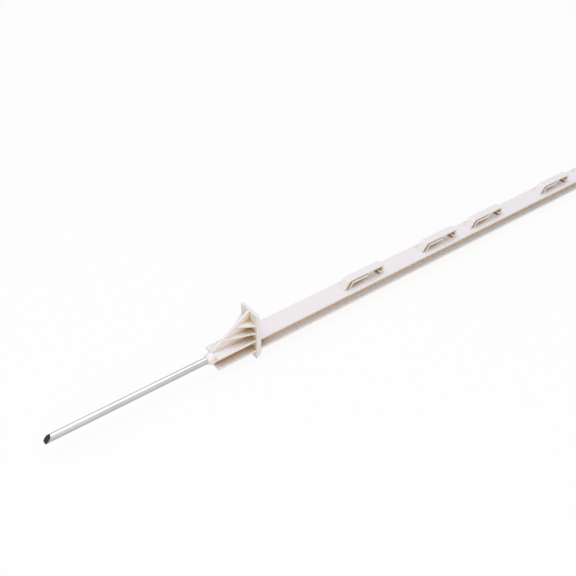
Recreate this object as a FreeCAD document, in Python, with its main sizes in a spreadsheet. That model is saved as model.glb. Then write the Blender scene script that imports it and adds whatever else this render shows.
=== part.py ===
"""Step in fence post: one moulded plastic stake with its clips, step and cap, and a steel ground spike.

Millimetres.  The post lies on its back: +X runs from the spike to the cap, +Z is the side with the clips.
Each piece is modelled with x = 0 at the square end of its foot and z = 0 on the axis of the spike, and is
placed so that the origin is the middle of the underside of the whole post.
"""
import FreeCAD
import Part
import math
import os
import Sketcher
import types

# name, size in millimetres, what it is
SIZES = [
    ("flange_width", 22.0, "width of both flanges of the section"),
    ("section_depth", 15.2, "front face to back face of the section"),
    ("flange_thickness", 2.4, "thickness of each flange"),
    ("web_thickness", 2.6, "thickness of the web between the flanges"),
    ("flange_edge_radius", 0.6, "rounding of the long outer edges"),
    ("web_root_radius", 1.2, "rounding where the web meets a flange"),
    ("foot_length", 43.4, "square end of the foot to the step"),
    ("core_diameter", 11.2, "sleeve of plastic around the seated spike"),
    ("core_tail", 16.0, "sleeve beyond the step"),
    ("boss_diameter", 12.6, "collar where it leaves the foot"),
    ("boss_end_diameter", 11.2, "collar where the spike comes out"),
    ("boss_length", 6.4, "length of the collar"),
    ("boss_end_chamfer", 1.6, "chamfer round the end of the collar"),
    ("boss_shoulder_radius", 4.0, "rounding that turns the collar into a dome"),
    ("step_thickness", 3.4, "thickness of the step"),
    ("step_rise", 30.8, "step above the front face"),
    ("step_drop", 8.8, "step below the back face"),
    ("step_top_width", 25.8, "width of the step at its top"),
    ("step_bottom_width", 22.6, "width of the step at its bottom"),
    ("step_corner_radius", 0.9, "rounding of the top corners of the step"),
    ("heel_length", 5.4, "thickness of the heel, the part of the step below the front face"),
    ("step_bevel", 5.0, "bevel along the bottom of the heel, along the post"),
    ("step_bevel_height", 5.6, "height of that bevel"),
    ("gusset_start", 0.6, "square end of the foot to the toe of the gusset"),
    ("gusset_thickness", 2.8, "thickness of the upright gusset"),
    ("gusset_toe", 1.8, "height of the gusset at its toe"),
    ("gusset_top_gap", 0.6, "top of the gusset below the top of the step"),
    ("lower_rib_rise", 10.0, "front face to the top of the lower rib"),
    ("upper_rib_rise", 19.3, "front face to the top of the upper rib"),
    ("rib_thickness", 1.8, "thickness of each rib"),
    ("rib_edge_margin", 0.5, "rib inside the side of the step"),
    ("clip_width", 9.0, "width of every clip across the post"),
    ("clip_length", 55.8, "long clip, root to free end"),
    ("short_clip_length", 43.2, "short clip, root to free end"),
    ("clip_height", 9.9, "top of a clip above the front face"),
    ("clip_arm", 1.4, "thickness of the outer arm"),
    ("clip_lean", 7.0, "how far the root of the outer arm leans along the post"),
    ("clip_root", 2.6, "length of the root of the outer arm on the front face"),
    ("bend_radius", 4.2, "outside of the bend of the outer arm"),
    ("nose_radius", 0.8, "rounding of the top of the free end"),
    ("hook_length", 7.8, "curled hook at the free end, along the post"),
    ("hook_thickness", 2.3, "thickness of the leg that comes down to the hook"),
    ("hook_chamfer", 1.6, "chamfer under the hook, on the side of the cap"),
    ("hook_seat", 4.8, "free end to the far end of the flat underside of the hook"),
    ("hook_floor", 2.1, "thickness of the bottom of the hook"),
    ("hook_height", 4.6, "height of the tip of the hook above the front face"),
    ("hook_tip", 1.5, "length of the tip of the hook"),
    ("hook_radius", 0.5, "rounding of the hook"),
    ("snap_gap", 0.6, "hook above the front face"),
    ("finger_start", 6.8, "root of the outer arm to the root of the finger"),
    ("finger_root", 2.8, "length of the root of the finger on the front face"),
    ("finger_reach", 32.5, "root of the outer arm to the end of the finger"),
    ("short_finger_reach", 21.7, "the same in the short clip"),
    ("finger_gap", 4.6, "front face to the finger"),
    ("finger_thickness", 2.6, "thickness of the finger"),
    ("finger_radius", 1.8, "outside of the bend of the finger"),
    ("tooth_length", 3.2, "retaining tooth on the front face, along the post"),
    ("tooth_height", 1.1, "height of that tooth"),
    ("tooth_gap", 1.4, "tooth to the hook"),
    ("gap_1", 112.7, "step to the first clip"),
    ("gap_2", 57.0, "first clip to the second"),
    ("gap_3", 22.8, "second clip to the third"),
    ("gap_4", 71.1, "third clip to the fourth"),
    ("gap_5", 22.9, "fourth clip to the fifth"),
    ("gap_6", 63.3, "fifth clip to the sixth"),
    ("gap_7", 30.1, "sixth clip to the seventh, the short one"),
    ("gap_8", 98.6, "seventh clip to the eighth"),
    ("gap_9", 14.1, "eighth clip to the ninth"),
    ("gap_10", 91.1, "ninth clip to the tenth"),
    ("gap_cap", 5.1, "tenth clip to the cap"),
    ("cap_thickness", 4.6, "thickness of the cap"),
    ("cap_width", 30.0, "width of the cap"),
    ("cap_rise", 5.6, "cap above the front face"),
    ("cap_drop", 5.0, "cap below the back face"),
    ("cap_corner_radius", 5.0, "rounding of the corners of the cap"),
    ("cap_rim_radius", 1.4, "rounding of the rim of the cap"),
    ("cap_flare", 2.4, "how far the flare under the cap spreads on every side"),
    ("cap_flare_length", 4.0, "length of the flare between the section and the cap"),
    ("spike_diameter", 7.0, "diameter of the spike"),
    ("spike_lift", 1.2, "axis of the spike above the middle of the section"),
    ("spike_reach", 160.5, "length of the spike outside the collar"),
    ("seat_depth", 54.0, "length of the spike inside the foot"),
    ("tip_cut", 6.2, "length of the slanted cut at the tip"),
    ("tip_land", 1.1, "thickness left at the very end of the tip"),
    ("keeper_place", 17.0, "square end of the foot to the keeper groove"),
    ("keeper_length", 6.0, "length of the keeper groove"),
    ("keeper_depth", 0.7, "depth of the keeper groove"),
    ("root_sink", 0.5, "how far the roots of the clips and the gusset run into the flange"),
    ("overcut", 2.0, "how far a cutting outline reaches past the surface"),
]
SHORT_CLIP = 7


class Rule:
    """A length worked out from the sizes: its number, and the expression that follows the sheet."""

    def __init__(self, number, words):
        self.number = number
        self.words = words

    def __add__(self, other):
        return Rule(self.number + other.number, f"({self.words} + {other.words})")

    def __sub__(self, other):
        return Rule(self.number - other.number, f"({self.words} - {other.words})")

    def __mul__(self, other):
        return Rule(self.number * other.number, f"({self.words} * {other.words})")

    def __truediv__(self, other):
        return Rule(self.number / other.number, f"({self.words} / {other.words})")

    def __neg__(self):
        return Rule(-self.number, f"(-{self.words})")


doc = FreeCAD.newDocument("step_in_post")
sheet = doc.addObject("Spreadsheet::Sheet", "Sizes")
for row, (name, size, meaning) in enumerate(SIZES, start=1):
    sheet.set(f"A{row}", meaning)
    sheet.set(f"B{row}", str(size))
    sheet.setAlias(f"B{row}", name)
doc.recompute()

S = types.SimpleNamespace(**{name: Rule(size, f"Sizes.{name}") for name, size, meaning in SIZES})
ZERO = Rule(0.0, "0")
TWO = Rule(2.0, "2")
ALONG = FreeCAD.Vector(1, 0, 0)
ACROSS = FreeCAD.Vector(0, 1, 0)

FRONT = S.section_depth / TWO - S.spike_lift
BACK = FRONT - S.section_depth
STEP_TOP = FRONT + S.step_rise
STEP_BOTTOM = BACK - S.step_drop
STEP_REAR = S.foot_length + S.step_thickness
HEEL_END = S.foot_length + S.heel_length
GUSSET_RISE = S.step_rise - S.gusset_top_gap
LOW_END = -S.boss_length - S.spike_reach
SPIKE_RADIUS = S.spike_diameter / TWO
NECK_RADIUS = SPIKE_RADIUS - S.keeper_depth
CLIP_UNDER = S.clip_height - S.clip_arm
CLIP_SLOPE = S.clip_lean / S.clip_height
INNER_BEND = S.clip_root + CLIP_UNDER * CLIP_SLOPE
FINGER_TOP = S.finger_gap + S.finger_thickness
HOOK_FLOOR = S.snap_gap + S.hook_floor
GAPS = [S.gap_1, S.gap_2, S.gap_3, S.gap_4, S.gap_5, S.gap_6, S.gap_7, S.gap_8, S.gap_9, S.gap_10]


class Clip:
    """The place and the lengths of one clip, counted from the step."""

    def __init__(self, place, root):
        self.place = place
        self.root = root
        self.hooked = place != SHORT_CLIP
        self.length = S.clip_length if self.hooked else S.short_clip_length
        self.reach = S.finger_reach if self.hooked else S.short_finger_reach
        self.curl = S.hook_length if self.hooked else S.hook_thickness
        self.end = root + self.length


def clips_in_order():
    """Every clip, each one a gap beyond the one before it."""
    found = []
    before = STEP_REAR
    for place, gap in enumerate(GAPS, start=1):
        found.append(Clip(place, before + gap))
        before = found[-1].end
    return found


CLIPS = clips_in_order()
STAKE_END = CLIPS[-1].end + S.gap_cap
HIGH_END = STAKE_END + S.cap_thickness


def plane(body, role):
    """One of the body's own origin planes or axes."""
    return next(item for item in body.Origin.OriginFeatures if item.Role == role)


def sketch(body, name, role, loops, across=ZERO, up=ZERO, lift=ZERO):
    """Closed loops on a plane of the body, moved in the plane and lifted off it, all following the sheet."""
    drawing = body.newObject("Sketcher::SketchObject", name)
    drawing.AttachmentSupport = [(plane(body, role), "")]
    drawing.MapMode = "FlatFace"
    for axis, rule in (("x", across), ("y", up), ("z", lift)):
        drawing.setExpression(f"AttachmentOffset.Base.{axis}", rule.words)
    for corners in loops:
        points = [FreeCAD.Vector(first.number, second.number, 0) for first, second in corners]
        lines = [drawing.addGeometry(Part.LineSegment(start, end), False)
                 for start, end in zip(points, points[1:] + points[:1])]
        for line, following in zip(lines, lines[1:] + lines[:1]):
            drawing.addConstraint(Sketcher.Constraint("Coincident", line, 2, following, 1))
        for line, corner in zip(lines, corners):
            for kind, rule in zip(("DistanceX", "DistanceY"), corner):
                size = Sketcher.Constraint(kind, -1, 1, line, 1, rule.number)
                drawing.setExpression(f"Constraints[{drawing.addConstraint(size)}]", rule.words)
    doc.recompute()
    return drawing


def finish(feature):
    """Recompute, and stop where a feature has failed."""
    doc.recompute()
    if "Invalid" in feature.State or "Error" in feature.State or not feature.Shape.isValid():
        raise RuntimeError(f"{feature.Name}: {feature.State}")


def pad(body, name, drawing, length, both_ways=False):
    """Extrude a sketch along its normal, or evenly to both sides."""
    feature = body.newObject("PartDesign::Pad", name)
    feature.Profile = drawing
    feature.SideType = "Symmetric" if both_ways else "One side"
    feature.setExpression("Length", length.words)
    finish(feature)


def turned(body, kind, name, drawing):
    """Turn a sketch round the long axis, as a Revolution that adds or a Groove that cuts."""
    feature = body.newObject(f"PartDesign::{kind}", name)
    feature.Profile = drawing
    feature.ReferenceAxis = (plane(body, "X_Axis"), [""])
    feature.Angle = 360
    finish(feature)


def cut(body, name, drawing):
    """Cut a sketch right through to both sides, and make sure that it takes something away."""
    before = body.Shape.Volume
    feature = body.newObject("PartDesign::Pocket", name)
    feature.Profile = drawing
    feature.Type = "ThroughAll"
    feature.SideType = "Symmetric"
    finish(feature)
    if feature.Shape.Volume >= before:
        raise RuntimeError(f"{name} cuts nothing")


def rounded(body, name, radius, edges):
    """Round edges of the body as it stands."""
    if not edges:
        raise RuntimeError(f"{name}: no edges found")
    base = body.Tip
    feature = body.newObject("PartDesign::Fillet", name)
    feature.Base = (base, edges)
    feature.setExpression("Radius", radius.words)
    finish(feature)


def near(first, second):
    """Whether two numbers agree closely enough to mean the same place."""
    return math.isclose(first, second, abs_tol=1e-3)


def straight_edges(shape, direction, fits):
    """Names of the straight edges along a direction whose middle passes a test."""
    names = []
    for place, edge in enumerate(shape.Edges, start=1):
        if isinstance(edge.Curve, Part.Line) and near(abs(edge.Curve.Direction.dot(direction)), 1):
            if fits(edge.CenterOfMass):
                names.append(f"Edge{place}")
    return names


def ring_edges(shape, x):
    """Names of the circular edges that run round the post at x."""
    return [f"Edge{place}" for place, edge in enumerate(shape.Edges, start=1)
            if isinstance(edge.Curve, Part.Circle) and near(edge.Curve.Center.x, x)]


def clip_edges(shape, spots):
    """Names of the edges across the post at the spots, each given along the post and above the front."""
    places = [(along.number, (FRONT + height).number) for along, height in spots]
    return straight_edges(shape, ACROSS,
                          lambda mid: any(near(mid.x, x) and near(mid.z, z) for x, z in places))


def outline_edges(shape, x):
    """Names of the edges round the outside of the largest face that lies square to the post at x."""
    faces = [face for face in shape.Faces if near(face.BoundBox.XMin, x) and near(face.BoundBox.XMax, x)]
    outside = max(faces, key=lambda face: face.OuterWire.Length).OuterWire
    return [f"Edge{place}" for place, edge in enumerate(shape.Edges, start=1)
            if any(edge.isSame(side) for side in outside.Edges)]


def rectangle(side, low, high):
    """Corners of a rectangle about the middle plane, seen along the post."""
    return [(-side, low), (side, low), (side, high), (-side, high)]


def section(body):
    """The I section: two flanges and a web, the length of the stake."""
    side = S.flange_width / TWO
    web = S.web_thickness / TWO
    upper = FRONT - S.flange_thickness
    lower = BACK + S.flange_thickness
    corners = [
        (-side, BACK), (side, BACK), (side, lower), (web, lower),
        (web, upper), (side, upper), (side, FRONT), (-side, FRONT),
        (-side, upper), (-web, upper), (-web, lower), (-side, lower),
    ]
    pad(body, "stake", sketch(body, "stake_section", "YZ_Plane", [corners]), STAKE_END)
    roots = straight_edges(body.Shape, ALONG, lambda mid: near(abs(mid.y), web.number))
    rounded(body, "web_roots", S.web_root_radius, roots)
    outside = straight_edges(body.Shape, ALONG, lambda mid: near(abs(mid.y), side.number))
    rounded(body, "flange_edges", S.flange_edge_radius, outside)


def collar_and_sleeve(body):
    """The tapered collar at the end of the foot, and the sleeve round the seated spike."""
    tail = S.foot_length + S.core_tail
    sleeve = S.core_diameter / TWO
    collar_end = S.boss_end_diameter / TWO
    corners = [
        (-S.boss_length, ZERO), (-S.boss_length, collar_end - S.boss_end_chamfer),
        (S.boss_end_chamfer - S.boss_length, collar_end), (ZERO, S.boss_diameter / TWO),
        (ZERO, sleeve), (tail - sleeve / TWO, sleeve), (tail, sleeve / TWO), (tail, ZERO),
    ]
    turned(body, "Revolution", "collar_and_sleeve", sketch(body, "collar_profile", "XZ_Plane", [corners]))
    shoulder = ring_edges(body.Shape, (S.boss_end_chamfer - S.boss_length).number)
    rounded(body, "collar_shoulder", S.boss_shoulder_radius, shoulder)


def step_side(height):
    """Half the width of the step at a height."""
    share = (height - STEP_BOTTOM) / (STEP_TOP - STEP_BOTTOM)
    return (S.step_bottom_width + (S.step_top_width - S.step_bottom_width) * share) / TWO


def step(body):
    """The step: an upright plate, wider at its top, and its thicker heel with a bevel along the bottom."""
    heel_top = FRONT - S.root_sink
    for name, top, thickness in (("step", STEP_TOP, S.step_thickness), ("heel", heel_top, S.heel_length)):
        low = step_side(STEP_BOTTOM)
        high = step_side(top)
        corners = [(-low, STEP_BOTTOM), (low, STEP_BOTTOM), (high, top), (-high, top)]
        pad(body, name, sketch(body, f"{name}_outline", "YZ_Plane", [corners], lift=S.foot_length), thickness)
    edges = straight_edges(body.Shape, ALONG, lambda mid: near(mid.z, STEP_TOP.number))
    rounded(body, "step_corners", S.step_corner_radius, edges)
    start = HEEL_END - S.step_bevel
    bevel = [
        (start, STEP_BOTTOM), (HEEL_END, STEP_BOTTOM + S.step_bevel_height),
        (HEEL_END + S.overcut, STEP_BOTTOM + S.step_bevel_height),
        (HEEL_END + S.overcut, STEP_BOTTOM - S.overcut), (start, STEP_BOTTOM - S.overcut),
    ]
    cut(body, "step_bevel", sketch(body, "step_bevel_outline", "XZ_Plane", [bevel]))


def gusset(body):
    """The upright gusset from the front face to the top of the step, and the two ribs across it."""
    into_step = S.foot_length + S.step_thickness / TWO
    root = FRONT - S.root_sink
    peak = FRONT + GUSSET_RISE
    corners = [(S.gusset_start, root), (into_step, root), (into_step, peak), (S.foot_length, peak),
               (S.gusset_start, FRONT + S.gusset_toe)]
    pad(body, "gusset", sketch(body, "gusset_outline", "XZ_Plane", [corners]), S.gusset_thickness, True)
    blade = S.gusset_thickness / TWO
    slope = (S.foot_length - S.gusset_start) / (GUSSET_RISE - S.gusset_toe)
    for name, rise in (("lower_rib", S.lower_rib_rise), ("upper_rib", S.upper_rib_rise)):
        toe = S.gusset_start + (rise - S.gusset_toe) * slope
        side = step_side(FRONT + rise) - S.rib_edge_margin
        corners = [(toe, -blade), (S.foot_length, -side), (into_step, -side),
                   (into_step, side), (S.foot_length, side), (toe, blade)]
        outline = sketch(body, f"{name}_outline", "XY_Plane", [corners], lift=FRONT + rise - S.rib_thickness)
        pad(body, name, outline, S.rib_thickness)


def hook_corners(length):
    """Corners of the hook, from the outside of the free end, round its tip, to the inside of the leg."""
    tip = length - S.hook_length
    return [
        (length, S.snap_gap + S.hook_chamfer), (length - S.hook_chamfer, S.snap_gap),
        (length - S.hook_seat, S.snap_gap), (tip, S.hook_height), (tip + S.hook_tip, S.hook_height),
        (length - S.hook_seat, HOOK_FLOOR), (length - S.hook_thickness, HOOK_FLOOR),
    ]


def plain_corners(length):
    """Corners of a free end that only comes down close to the front face."""
    return [(length, S.snap_gap), (length - S.hook_thickness, S.snap_gap)]


def clip_loops(clip):
    """The outlines of one clip: the outer arm with its nose, the finger inside it, and the tooth."""
    length = clip.length
    outer = [
        (ZERO, -S.root_sink), (ZERO, ZERO), (S.clip_lean, S.clip_height), (length, S.clip_height),
    ]
    outer += hook_corners(length) if clip.hooked else plain_corners(length)
    outer += [
        (length - S.hook_thickness, CLIP_UNDER), (INNER_BEND, CLIP_UNDER),
        (S.clip_root, ZERO), (S.clip_root, -S.root_sink),
    ]
    finger_end = S.finger_start + S.finger_root
    finger = [
        (S.finger_start, -S.root_sink), (S.finger_start, ZERO),
        (S.finger_start + FINGER_TOP * CLIP_SLOPE, FINGER_TOP), (clip.reach, FINGER_TOP),
        (clip.reach, S.finger_gap), (finger_end + S.finger_gap * CLIP_SLOPE, S.finger_gap),
        (finger_end, ZERO), (finger_end, -S.root_sink),
    ]
    tooth_end = length - clip.curl - S.tooth_gap
    tooth_start = tooth_end - S.tooth_length
    tooth = [(tooth_start, -S.root_sink), (tooth_start, ZERO),
             (tooth_end, S.tooth_height), (tooth_end, -S.root_sink)]
    return [outer, finger, tooth]


def clips(body):
    """All the clips, and then the roundings of their bends, noses, hooks and fingers."""
    for clip in CLIPS:
        outline = sketch(body, f"clip_{clip.place}_outline", "XZ_Plane", clip_loops(clip), clip.root, FRONT)
        pad(body, f"clip_{clip.place}", outline, S.clip_width, True)
    bends = [(clip.root + S.clip_lean, S.clip_height) for clip in CLIPS]
    rounded(body, "clip_bends", S.bend_radius, clip_edges(body.Shape, bends))
    insides = [(clip.root + INNER_BEND, CLIP_UNDER) for clip in CLIPS]
    rounded(body, "clip_insides", S.bend_radius - S.clip_arm, clip_edges(body.Shape, insides))
    noses = [(clip.end, S.clip_height) for clip in CLIPS]
    rounded(body, "clip_noses", S.nose_radius, clip_edges(body.Shape, noses))
    hooks = []
    for clip in CLIPS:
        corners = hook_corners(clip.length) if clip.hooked else plain_corners(clip.length)
        corners.append((clip.length - S.hook_thickness, CLIP_UNDER))
        hooks += [(clip.root + along, height) for along, height in corners]
    rounded(body, "clip_hooks", S.hook_radius, clip_edges(body.Shape, hooks))
    fingers = [(clip.root + S.finger_start + FINGER_TOP * CLIP_SLOPE, FINGER_TOP) for clip in CLIPS]
    rounded(body, "clip_fingers", S.finger_radius, clip_edges(body.Shape, fingers))


def cap(body):
    """The cap: a plate with round corners and a rolled rim, and the flare that carries it."""
    low = BACK - S.cap_drop
    high = FRONT + S.cap_rise
    side = S.cap_width / TWO
    outline = rectangle(side, low, high)
    pad(body, "cap", sketch(body, "cap_outline", "YZ_Plane", [outline], lift=STAKE_END), S.cap_thickness)
    edges = straight_edges(body.Shape, ALONG, lambda mid: near(abs(mid.y), side.number))
    rounded(body, "cap_corners", S.cap_corner_radius, edges)
    rim = outline_edges(body.Shape, STAKE_END.number) + outline_edges(body.Shape, HIGH_END.number)
    rounded(body, "cap_rim", S.cap_rim_radius, rim)
    inset = S.flange_edge_radius
    narrow = rectangle(S.flange_width / TWO - inset, BACK + inset, FRONT - inset)
    spread = rectangle(S.flange_width / TWO + S.cap_flare, BACK - S.cap_flare, FRONT + S.cap_flare)
    near_end = STAKE_END - S.cap_flare_length
    flare = body.newObject("PartDesign::AdditiveLoft", "cap_flare")
    flare.Profile = sketch(body, "flare_start", "YZ_Plane", [narrow], lift=near_end)
    flare.Sections = [sketch(body, "flare_end", "YZ_Plane", [spread], lift=STAKE_END)]
    flare.Ruled = True
    finish(flare)


def seat_profile(first):
    """Half section of the spike, or of its socket, from the first place along the post to the seat's end."""
    keeper_end = S.keeper_place + S.keeper_length
    return [
        (first, ZERO), (first, SPIKE_RADIUS), (S.keeper_place, SPIKE_RADIUS), (S.keeper_place, NECK_RADIUS),
        (keeper_end, NECK_RADIUS), (keeper_end, SPIKE_RADIUS), (S.seat_depth - S.keeper_depth, SPIKE_RADIUS),
        (S.seat_depth, NECK_RADIUS), (S.seat_depth, ZERO),
    ]


def placed(body):
    """Put a piece in the frame of the whole post: origin in the middle of the underside."""
    body.setExpression("Placement.Base.x", (-(LOW_END + HIGH_END) / TWO).words)
    body.setExpression("Placement.Base.z", (-STEP_BOTTOM).words)
    return body


def post_moulding():
    """The moulded stake with its foot, step, clips and cap, and the socket of the spike."""
    body = doc.addObject("PartDesign::Body", "post_moulding")
    body.Label = "post_moulding"
    section(body)
    collar_and_sleeve(body)
    step(body)
    gusset(body)
    clips(body)
    cap(body)
    before = body.Shape.Volume
    profile = sketch(body, "socket_profile", "XZ_Plane", [seat_profile(-S.boss_length - S.overcut)])
    turned(body, "Groove", "socket", profile)
    if body.Shape.Volume >= before:
        raise RuntimeError("the socket cuts nothing")
    return placed(body)


def ground_spike():
    """The steel spike: a drawn rod with a keeper groove in its seat and a slanted cut at its tip."""
    body = doc.addObject("PartDesign::Body", "ground_spike")
    body.Label = "ground_spike"
    turned(body, "Revolution", "rod", sketch(body, "rod_profile", "XZ_Plane", [seat_profile(LOW_END)]))
    land = S.tip_land - SPIKE_RADIUS
    slant = [
        (LOW_END, land), (LOW_END + S.tip_cut, SPIKE_RADIUS), (LOW_END + S.tip_cut, SPIKE_RADIUS + S.overcut),
        (LOW_END - S.overcut, SPIKE_RADIUS + S.overcut), (LOW_END - S.overcut, land),
    ]
    cut(body, "tip", sketch(body, "tip_outline", "XZ_Plane", [slant]))
    return placed(body)


pieces = [post_moulding(), ground_spike()]
doc.recompute()
for item in doc.Objects:
    if "Invalid" in item.State or "Error" in item.State:
        raise RuntimeError(f"{item.Name} failed: {item.State}")
os.makedirs("parts", exist_ok=True)
for piece in pieces:
    shape = piece.Shape
    if shape.isNull() or not shape.isValid() or len(shape.Solids) != 1:
        raise RuntimeError(f"{piece.Label} is not one valid solid")
    shape.exportStep(f"parts/{piece.Label}.step")
    box = shape.BoundBox
    print(f"{piece.Label}: {shape.Volume:.0f} mm3, x {box.XMin:.1f} to {box.XMax:.1f}, "
          f"y {box.YMin:.1f} to {box.YMax:.1f}, z {box.ZMin:.1f} to {box.ZMax:.1f}")
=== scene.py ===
"""Looks of a step-in fence post: satin white plastic and a drawn steel spike, on a white floor.

Metres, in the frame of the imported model: +X from the spike to the cap, +Z up through the clips.
"""

import logging
import math
from dataclasses import dataclass
from enum import Enum

import bpy
from mathutils import Euler, Matrix, Vector


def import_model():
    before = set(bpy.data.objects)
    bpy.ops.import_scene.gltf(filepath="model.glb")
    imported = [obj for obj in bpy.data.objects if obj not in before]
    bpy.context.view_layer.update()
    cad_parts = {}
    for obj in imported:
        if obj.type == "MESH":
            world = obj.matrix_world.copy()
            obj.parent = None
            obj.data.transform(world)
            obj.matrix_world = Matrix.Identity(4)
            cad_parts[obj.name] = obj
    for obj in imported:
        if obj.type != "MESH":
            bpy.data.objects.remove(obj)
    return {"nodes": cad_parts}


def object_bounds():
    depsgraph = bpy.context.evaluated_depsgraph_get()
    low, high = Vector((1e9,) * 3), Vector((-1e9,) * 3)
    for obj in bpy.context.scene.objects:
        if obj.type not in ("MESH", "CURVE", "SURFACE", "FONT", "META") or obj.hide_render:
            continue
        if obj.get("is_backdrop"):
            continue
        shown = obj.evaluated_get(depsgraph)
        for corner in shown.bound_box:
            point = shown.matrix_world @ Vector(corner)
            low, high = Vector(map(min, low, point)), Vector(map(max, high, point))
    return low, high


LOG = logging.getLogger("step_in_post")
FLOAT = "NodeSocketFloat"
Colour = tuple[float, float, float]
Box = tuple[Vector, Vector]
WHITE: Colour = (1.0, 1.0, 1.0)


class Node(Enum):
    """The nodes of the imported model."""

    MOULDING = "post_moulding"
    SPIKE = "ground_spike"


class Slot(Enum):
    """The material slots of the record."""

    PLASTIC = "white_plastic"
    STEEL = "bright_steel"


@dataclass(frozen=True)
class Span:
    """A range of a value, with the results at its two ends.

    Attributes:
        low: Lower end of the range.
        high: Upper end of the range.
        at_low: Result at the lower end and below it.
        at_high: Result at the upper end and above it.
    """

    low: float
    high: float
    at_low: float = 0.0
    at_high: float = 1.0


class Wiring:
    """A node tree with short ways to add and join shader nodes."""

    def __init__(self, tree: bpy.types.NodeTree) -> None:
        """Keep the tree.

        Args:
            tree: The tree of a material, a world or a node group.
        """
        self.tree = tree

    def add(self, kind: str, **settings: object) -> bpy.types.Node:
        """Add a node.

        Args:
            kind: Its type, without the word ShaderNode.
            **settings: Properties of the node.

        Returns:
            The new node.
        """
        node = self.tree.nodes.new(kind if kind.startswith("Node") else f"ShaderNode{kind}")
        for name, value in settings.items():
            setattr(node, name, value)
        return node

    def feed(self, node: bpy.types.Node, **sources: object) -> bpy.types.Node:
        """Join sockets to inputs of a node, or set the inputs to values.

        Args:
            node: The node that takes the inputs.
            **sources: Input name, with _ for a space, and its socket or value.

        Returns:
            The same node.
        """
        for name, source in sources.items():
            self.put(node.inputs[name.replace("_", " ")], source)
        return node

    def put(self, socket: bpy.types.NodeSocket, source: object) -> None:
        """Join one source to a socket, or set the socket.

        Args:
            socket: The input.
            source: An output socket, or a plain value.
        """
        if isinstance(source, bpy.types.NodeSocket):
            self.tree.links.new(source, socket)
        elif isinstance(source, tuple) and socket.type == "RGBA":
            socket.default_value = (*source, 1.0)
        else:
            socket.default_value = source

    def maths(self, operation: str, first: object, second: object) -> bpy.types.NodeSocket:
        """Work out one number from two.

        Args:
            operation: Name of the Math operation.
            first: A socket or a number.
            second: A socket or a number.

        Returns:
            The result.
        """
        node = self.add("Math", operation=operation)
        self.put(node.inputs[0], first)
        self.put(node.inputs[1], second)
        return node.outputs[0]

    def ranged(self, value: object, span: Span) -> bpy.types.NodeSocket:
        """Map a range of a value to another range, held at its ends.

        Args:
            value: The socket to map.
            span: The range and the results at its ends.

        Returns:
            The mapped value.
        """
        node = self.add("MapRange")
        self.feed(node, Value=value, From_Min=span.low, From_Max=span.high,
                  To_Min=span.at_low, To_Max=span.at_high)
        return node.outputs["Result"]

    def blend(self, factor: object, first: object, second: object) -> bpy.types.NodeSocket:
        """Mix two colours.

        Args:
            factor: Share of the second.
            first: A colour or a colour socket.
            second: A colour or a colour socket.

        Returns:
            The mixed colour.
        """
        node = self.add("Mix", data_type="RGBA")
        factor_input, first_input, second_input = (node.inputs[index] for index in (0, 6, 7))
        self.put(factor_input, factor)
        self.put(first_input, first)
        self.put(second_input, second)
        return node.outputs[2]

    def group(self, tree: bpy.types.NodeTree, **sources: object) -> bpy.types.Node:
        """Use a node group.

        Args:
            tree: The group.
            **sources: Its inputs, as in feed.

        Returns:
            The node that holds the group.
        """
        return self.feed(self.add("Group", node_tree=tree), **sources)

    def ends(self) -> tuple[bpy.types.Node, bpy.types.Node]:
        """Add the two ends of a node group.

        Returns:
            The node that gives its inputs and the node that takes its outputs.
        """
        return self.add("NodeGroupInput"), self.add("NodeGroupOutput")

    def per_size(self, size: object) -> bpy.types.NodeSocket:
        """Turn the size of a pattern into its scale.

        Args:
            size: The size in metres.

        Returns:
            One over the size.
        """
        return self.maths("DIVIDE", 1.0, size)

    def seen(self) -> bpy.types.NodeSocket:
        """Tell what the camera or a mirror sees from what lights the scene.

        Returns:
            1 for camera and glossy rays, 0 for the others.
        """
        path = self.add("LightPath")
        return self.maths("MAXIMUM", path.outputs["Is Camera Ray"], path.outputs["Is Glossy Ray"])


def new_group(name: str, inputs: dict[str, float], outputs: list[str]) -> Wiring:
    """Make an empty shader node group of numbers.

    Args:
        name: Name of the group.
        inputs: Each input's name and default.
        outputs: The names of the outputs.

    Returns:
        The wiring of the group.
    """
    tree = bpy.data.node_groups.new(name, "ShaderNodeTree")
    for label, default in inputs.items():
        socket = tree.interface.new_socket(label, in_out="INPUT", socket_type=FLOAT)
        socket.default_value = default
    for label in outputs:
        tree.interface.new_socket(label, in_out="OUTPUT", socket_type=FLOAT)
    return Wiring(tree)


def new_material(name: str) -> tuple[bpy.types.Material, Wiring, bpy.types.Node]:
    """Make a material with its plain shader.

    Args:
        name: Name of the material.

    Returns:
        The material, its wiring and its shader.
    """
    material = bpy.data.materials.new(name)
    material.use_nodes = True
    return material, Wiring(material.node_tree), material.node_tree.nodes["Principled BSDF"]


def mottle_group() -> bpy.types.NodeTree:
    """Slow, soft variation over a surface, for uneven colour and gloss.

    Returns:
        A group with Size in metres and Detail in, and a Value near 0.5 out.
    """
    wiring = new_group("mottle", {"Size": 0.05, "Detail": 3.0}, ["Value"])
    entry, result = wiring.ends()
    noise = wiring.feed(
        wiring.add("TexNoise"), Vector=wiring.add("TexCoord").outputs["Object"],
        Scale=wiring.per_size(entry.outputs["Size"]), Detail=entry.outputs["Detail"],
        Roughness=0.55)
    wiring.feed(result, Value=noise.outputs["Fac"])
    return wiring.tree


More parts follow.
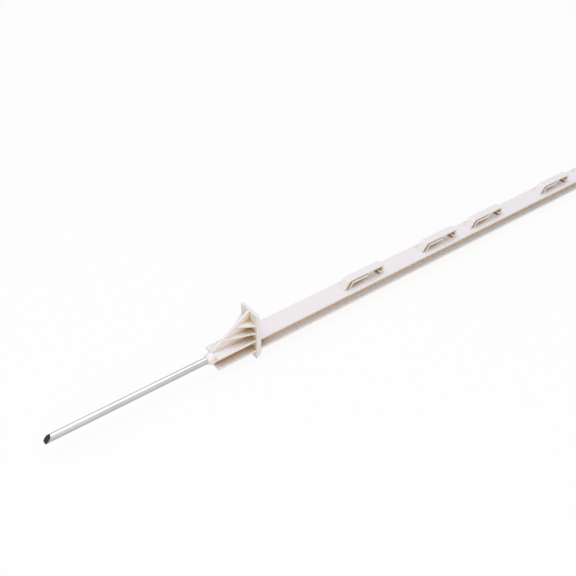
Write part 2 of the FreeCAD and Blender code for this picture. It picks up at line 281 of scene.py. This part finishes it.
def grain_group() -> bpy.types.NodeTree:
    """Fine surface grain as a height, drawn out along X where it is stretched.

    Returns:
        A group with Size in metres and Stretch in, and Height out.
    """
    wiring = new_group("grain", {"Size": 0.0005, "Stretch": 1.0}, ["Height"])
    entry, result = wiring.ends()
    place = wiring.feed(
        wiring.add("SeparateXYZ"), Vector=wiring.add("TexCoord").outputs["Object"])
    along = wiring.maths("DIVIDE", place.outputs["X"], entry.outputs["Stretch"])
    drawn_out = wiring.feed(
        wiring.add("CombineXYZ"), X=along, Y=place.outputs["Y"], Z=place.outputs["Z"])
    noise = wiring.feed(
        wiring.add("TexNoise"), Vector=drawn_out.outputs["Vector"],
        Scale=wiring.per_size(entry.outputs["Size"]), Detail=2.0, Roughness=0.6)
    wiring.feed(result, Height=noise.outputs["Fac"])
    return wiring.tree


def hollow_group() -> bpy.types.NodeTree:
    """How far inside a corner or a recess a point sits, from the solids around it; the plastic's
    painted shade follows it.

    Returns:
        A group with Reach in metres and Upward, the share kept by faces that look up, in. It
        gives Depth, 0 in the open and 1 far inside, and Side, 1 on faces that look sideways
        or down.
    """
    looks_aside = Span(0.35, 0.75, 1.0, 0.0)
    wiring = new_group("hollow", {"Reach": 0.01, "Upward": 0.5}, ["Depth", "Side"])
    entry, result = wiring.ends()
    shade = wiring.feed(
        wiring.add("AmbientOcclusion", samples=12, only_local=True),
        Distance=entry.outputs["Reach"])
    facing = wiring.feed(
        wiring.add("SeparateXYZ"), Vector=wiring.add("NewGeometry").outputs["Normal"])
    side = wiring.ranged(facing.outputs["Z"], looks_aside)
    kept = wiring.maths("MAXIMUM", side, entry.outputs["Upward"])
    closed = wiring.maths("SUBTRACT", 1.0, shade.outputs["AO"])
    wiring.feed(result, Depth=wiring.maths("MULTIPLY", closed, kept), Side=side)
    return wiring.tree


class Effects:
    """The node groups that the finishes share, each built once."""

    def __init__(self) -> None:
        """Build the groups."""
        self.mottle = mottle_group()
        self.grain = grain_group()
        self.hollow = hollow_group()


@dataclass(frozen=True)
class WhitePlastic:
    """Satin white plastic, slightly uneven in tone, with shade painted in: tan on side faces and
    in corners, brown at the bottoms of recesses.

    Attributes:
        base: Colour of open faces.
        tan_shade_and_tone: Tan painted as shade on side faces and in shallow corners, and the
            tone of the uneven patches.
        brown_recess_shade: Brown painted as shade at the bottom of a recess.
        reach: How far a recess is felt, in metres.
        upward: Share of the painted shade's depth that faces that look up keep.
        side_shade_tint: Share of the tan shade painted on open side faces.
        shallow: Depth at which the painted tan shade comes in.
        bottom: Depth at which the painted brown shade comes in.
        mottle_size: Size of the uneven patches, in metres.
        tint: Share of the tan colour in the patches.
        gloss: Roughness in the patches.
        grain_size: Size of the fine grain, in metres.
        grain_height: Height of the fine grain, in metres.
        grain_strength: Share of that height that shows.
        index: How strongly the surface bends light.
    """

    base: Colour = (0.80, 0.77, 0.81)
    tan_shade_and_tone: Colour = (0.76, 0.66, 0.54)
    brown_recess_shade: Colour = (0.50, 0.35, 0.19)
    reach: float = 0.012
    upward: float = 0.85
    side_shade_tint: float = 0.45
    shallow: Span = Span(0.26, 0.56)
    bottom: Span = Span(0.42, 0.72)
    mottle_size: float = 0.06
    tint: Span = Span(0.3, 0.7, 0.0, 0.06)
    gloss: Span = Span(0.3, 0.7, 0.37, 0.47)
    grain_size: float = 0.0006
    grain_height: float = 0.0001
    grain_strength: float = 0.08
    index: float = 1.49

    def build(self, effects: Effects) -> bpy.types.Material:
        """Make the material.

        Args:
            effects: The shared node groups.

        Returns:
            The material.
        """
        material, wiring, shader = new_material(Slot.PLASTIC.value)
        hollow = wiring.group(effects.hollow, Reach=self.reach, Upward=self.upward)
        mottle = wiring.group(effects.mottle, Size=self.mottle_size, Detail=3.0)
        grain = wiring.group(effects.grain, Size=self.grain_size, Stretch=1.0)
        # Painted shade: side faces and corners get tan, and the bottoms of recesses brown, where
        # shade and tinted bounced light fall.
        side_shade = wiring.maths("MULTIPLY", hollow.outputs["Side"], self.side_shade_tint)
        corner_shade = wiring.ranged(hollow.outputs["Depth"], self.shallow)
        tan_shaded = wiring.blend(wiring.maths("MAXIMUM", side_shade, corner_shade), self.base, self.tan_shade_and_tone)
        recess_shade_share = wiring.ranged(hollow.outputs["Depth"], self.bottom)
        shaded = wiring.blend(recess_shade_share, tan_shaded, self.brown_recess_shade)
        # The uneven patches are the plastic's own tone.
        uneven = wiring.ranged(mottle.outputs["Value"], self.tint)
        bump = wiring.feed(
            wiring.add("Bump"), Strength=self.grain_strength, Distance=self.grain_height,
            Height=grain.outputs["Height"])
        wiring.feed(
            shader, Base_Color=wiring.blend(uneven, shaded, self.tan_shade_and_tone),
            Roughness=wiring.ranged(mottle.outputs["Value"], self.gloss), IOR=self.index,
            Normal=bump.outputs["Normal"])
        return material


@dataclass(frozen=True)
class DrawnSteel:
    """Bright drawn steel rod, with a dark cut face at its tip, worn patches, and painted shade on
    faces seen edge on and on its lower half.

    Attributes:
        base: Colour of the drawn surface.
        dark_cut_wear_and_shade: Colour of the cut face and of the worn patches, also painted as
            shade on faces seen edge on and on the lower half.
        cut: How far a face looks towards the tip, where it was cut off.
        cut_roughness: Roughness of the cut face.
        mottle_size: Size of the dull patches, in metres.
        worn: Share of the dark colour in the patches.
        edge_on_shade: Share of the dark colour painted as shade on faces seen edge on.
        lower_half_shade: Share of the dark colour painted as shade on the lower half.
        grain_size: Width of the drawing lines, in metres.
        grain_stretch: Their length over their width.
        lines: Roughness over the drawing lines.
        line_height: Height of the lines, in metres.
        line_strength: Share of that height that shows.
    """

    base: Colour = (0.60, 0.61, 0.63)
    dark_cut_wear_and_shade: Colour = (0.05, 0.05, 0.055)
    cut: Span = Span(-0.45, -0.35, 1.0, 0.0)
    cut_roughness: float = 0.55
    mottle_size: float = 0.03
    worn: Span = Span(0.35, 0.7, 0.0, 0.18)
    edge_on_shade: Span = Span(0.55, 0.92, 0.0, 0.75)
    lower_half_shade: Span = Span(-0.2, 0.45, 0.3, 0.0)
    grain_size: float = 0.0004
    grain_stretch: float = 60.0
    lines: Span = Span(0.3, 0.7, 0.18, 0.30)
    line_height: float = 0.00005
    line_strength: float = 0.12

    def build(self, effects: Effects) -> bpy.types.Material:
        """Make the material.

        Args:
            effects: The shared node groups.

        Returns:
            The material.
        """
        material, wiring, shader = new_material(Slot.STEEL.value)
        facing = wiring.feed(
            wiring.add("SeparateXYZ"), Vector=wiring.add("NewGeometry").outputs["True Normal"])
        cut = wiring.ranged(facing.outputs["X"], self.cut)
        mottle = wiring.group(effects.mottle, Size=self.mottle_size, Detail=4.0)
        grain = wiring.group(effects.grain, Size=self.grain_size, Stretch=self.grain_stretch)
        worn = wiring.ranged(mottle.outputs["Value"], self.worn)
        # Painted shade: faces seen edge on and the lower half of the rod are darkened; the
        # mottled patches are real wear.
        edge_on_shade = wiring.ranged(wiring.add("LayerWeight").outputs["Facing"], self.edge_on_shade)
        lower_half_shade = wiring.ranged(facing.outputs["Z"], self.lower_half_shade)
        worn_and_shaded = wiring.maths("MAXIMUM", worn, wiring.maths("MAXIMUM", edge_on_shade, lower_half_shade))
        drawn = wiring.blend(worn_and_shaded, self.base, self.dark_cut_wear_and_shade)
        lines = wiring.ranged(grain.outputs["Height"], self.lines)
        rough_cut = wiring.maths("MULTIPLY", cut, self.cut_roughness)
        bump = wiring.feed(
            wiring.add("Bump"), Strength=self.line_strength, Distance=self.line_height,
            Height=grain.outputs["Height"])
        wiring.feed(
            shader, Base_Color=wiring.blend(cut, drawn, self.dark_cut_wear_and_shade), Metallic=1.0,
            Roughness=wiring.maths("MAXIMUM", lines, rough_cut), Normal=bump.outputs["Normal"])
        return material


@dataclass(frozen=True)
class Post:
    """The post: its moulding and its spike, dressed where they stand.

    Attributes:
        nodes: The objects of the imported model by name.
        effects: The shared node groups.
    """

    nodes: dict[str, bpy.types.Object]
    effects: Effects

    def dress(self, node: Node, material: bpy.types.Material) -> None:
        """Give one node its finish.

        Args:
            node: The node.
            material: Its material.
        """
        mesh = self.nodes[node.value].data
        mesh.materials.clear()
        mesh.materials.append(material)
        LOG.info("%s dressed in %s, %d faces", node.value, material.name, len(mesh.polygons))

    def build(self) -> None:
        """Dress the moulding and the spike."""
        self.dress(Node.MOULDING, WhitePlastic().build(self.effects))
        self.dress(Node.SPIKE, DrawnSteel().build(self.effects))


@dataclass(frozen=True)
class Lamp:
    """A square soft lamp.

    Attributes:
        name: Its name.
        place: Where it hangs, in metres from the middle of the post's underside.
        side: Its side, in metres.
        power: Its power, in watts.
        colour: Its colour.
    """

    name: str
    place: tuple[float, float, float]
    side: float
    power: float
    colour: Colour

    def hang(self, middle: Vector) -> None:
        """Hang the lamp so that it looks at the middle.

        Args:
            middle: Middle of the post's underside.
        """
        data = bpy.data.lights.new(self.name, "AREA")
        data.shape = "SQUARE"
        data.size = self.side
        data.energy = self.power
        data.color = self.colour
        away = Vector(self.place)
        lamp = bpy.data.objects.new(self.name, data)
        lamp.location = middle + away
        lamp.rotation_euler = (-away).to_track_quat("-Z", "Y").to_euler()
        bpy.context.scene.collection.objects.link(lamp)


LAMPS = (
    Lamp("overhead", (-0.5, 0.4, 2.2), 2.0, 22.0, WHITE),
    Lamp("from_near_side", (-1.3, -1.7, 1.1), 1.4, 17.0, (1.0, 0.98, 0.95)),
)


@dataclass(frozen=True)
class Studio:
    """The white floor, the soft lamps and the white surroundings.

    Attributes:
        middle: Middle of the object's underside.
        floor_side: Side of the floor, in metres.
        floor_colour: Colour of the floor, as it lights the post.
        floor_roughness: Roughness of the floor.
        floor_white: Share of plain white that the camera sees on the floor.
        world_light: How bright the surroundings are, from what they light to what is seen.
    """

    middle: Vector
    floor_side: float = 12.0
    floor_colour: Colour = (0.86, 0.86, 0.86)
    floor_roughness: float = 0.9
    floor_white: float = 0.9
    world_light: Span = Span(0.0, 1.0, 0.55, 1.0)

    def floor(self) -> None:
        """Lay a white floor that keeps the shadow of the post."""
        half = self.floor_side / 2
        corners = [(x * half, y * half, 0.0) for x, y in ((-1, -1), (1, -1), (1, 1), (-1, 1))]
        mesh = bpy.data.meshes.new("floor")
        mesh.from_pydata(corners, [], [(0, 1, 2, 3)])
        plate = bpy.data.objects.new("floor", mesh)
        plate.location = self.middle
        bpy.context.scene.collection.objects.link(plate)
        mesh.materials.append(self.floor_finish())
        plate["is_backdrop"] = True

    def floor_finish(self) -> bpy.types.Material:
        """Make the floor's material: white to the camera, pale to the light.

        Returns:
            The material.
        """
        material, wiring, shader = new_material("white_floor")
        wiring.feed(shader, Base_Color=self.floor_colour, Roughness=self.floor_roughness)
        glow = wiring.feed(wiring.add("Emission"), Color=WHITE, Strength=1.0)
        mixed = wiring.add("MixShader")
        white_share = wiring.maths("MULTIPLY", wiring.seen(), self.floor_white)
        sources = (white_share, shader.outputs["BSDF"], glow.outputs["Emission"])
        for socket, source in zip(mixed.inputs, sources):
            wiring.put(socket, source)
        end = material.node_tree.nodes["Material Output"]
        wiring.feed(end, Surface=mixed.outputs["Shader"])
        return material

    def surroundings(self) -> None:
        """Make the world white to the camera and softly grey to the light."""
        world = bpy.data.worlds.new("studio")
        world.use_nodes = True
        bpy.context.scene.world = world
        wiring = Wiring(world.node_tree)
        strength = wiring.ranged(wiring.seen(), self.world_light)
        wiring.feed(world.node_tree.nodes["Background"], Color=WHITE, Strength=strength)

    def build(self) -> None:
        """Set up the floor, the surroundings and the lamps."""
        self.floor()
        self.surroundings()
        for lamp in LAMPS:
            lamp.hang(self.middle)
        LOG.info("studio set round %s", tuple(self.middle))


@dataclass(frozen=True)
class PhotoCamera:
    """The camera that sees the post as the picture does.

    Attributes:
        place: Where it stands, in metres.
        azimuth: Turn of its view from +Y towards +X, in degrees.
        elevation: How far it looks down, in degrees.
        focal_pixels: Focal length in pixels of a square frame.
        frame_pixels: Side of that frame in pixels.
        nearest: Distance at which it starts to see, in metres.
    """

    place: tuple[float, float, float] = (-0.7612, -0.4517, 0.5058)
    azimuth: float = 37.13
    elevation: float = 38.28
    focal_pixels: float = 745.0
    frame_pixels: float = 576.0
    nearest: float = 0.01

    def build(self) -> None:
        """Set up the camera and make it the scene's own."""
        data = bpy.data.cameras.new("photo_camera")
        data.sensor_fit = "HORIZONTAL"
        data.lens = data.sensor_width * self.focal_pixels / self.frame_pixels
        data.clip_start = self.nearest
        turn = Euler((math.radians(90.0 - self.elevation), 0.0, -math.radians(self.azimuth)))
        camera = bpy.data.objects.new("photo_camera", data)
        camera.matrix_world = Matrix.Translation(self.place) @ turn.to_matrix().to_4x4()
        bpy.context.scene.collection.objects.link(camera)
        bpy.context.scene.camera = camera
        LOG.info("camera at %s", self.place)


def plain_box(box: Box) -> list[list[float]]:
    """Turn a box into plain lists of numbers.

    Args:
        box: Its lowest and highest corners.

    Returns:
        The two corners as lists.
    """
    return [[float(value) for value in corner] for corner in box]


def underside(box: list[list[float]]) -> Vector:
    """Find the middle of a box's underside.

    Args:
        box: Its lowest and highest corners.

    Returns:
        That point.
    """
    low, high = box
    return Vector(((low[0] + high[0]) / 2, (low[1] + high[1]) / 2, low[2]))


def main() -> None:
    """Dress the post, measure its bounds, and set the studio round them and the camera."""
    logging.basicConfig(level=logging.INFO, format="%(name)s: %(message)s")
    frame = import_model()
    packed = plain_box(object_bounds())
    Post(frame["nodes"], Effects()).build()
    Studio(underside(packed)).build()
    PhotoCamera().build()
    bpy.context.scene.view_settings.view_transform = "Standard"


if __name__ == "__main__":
    main()
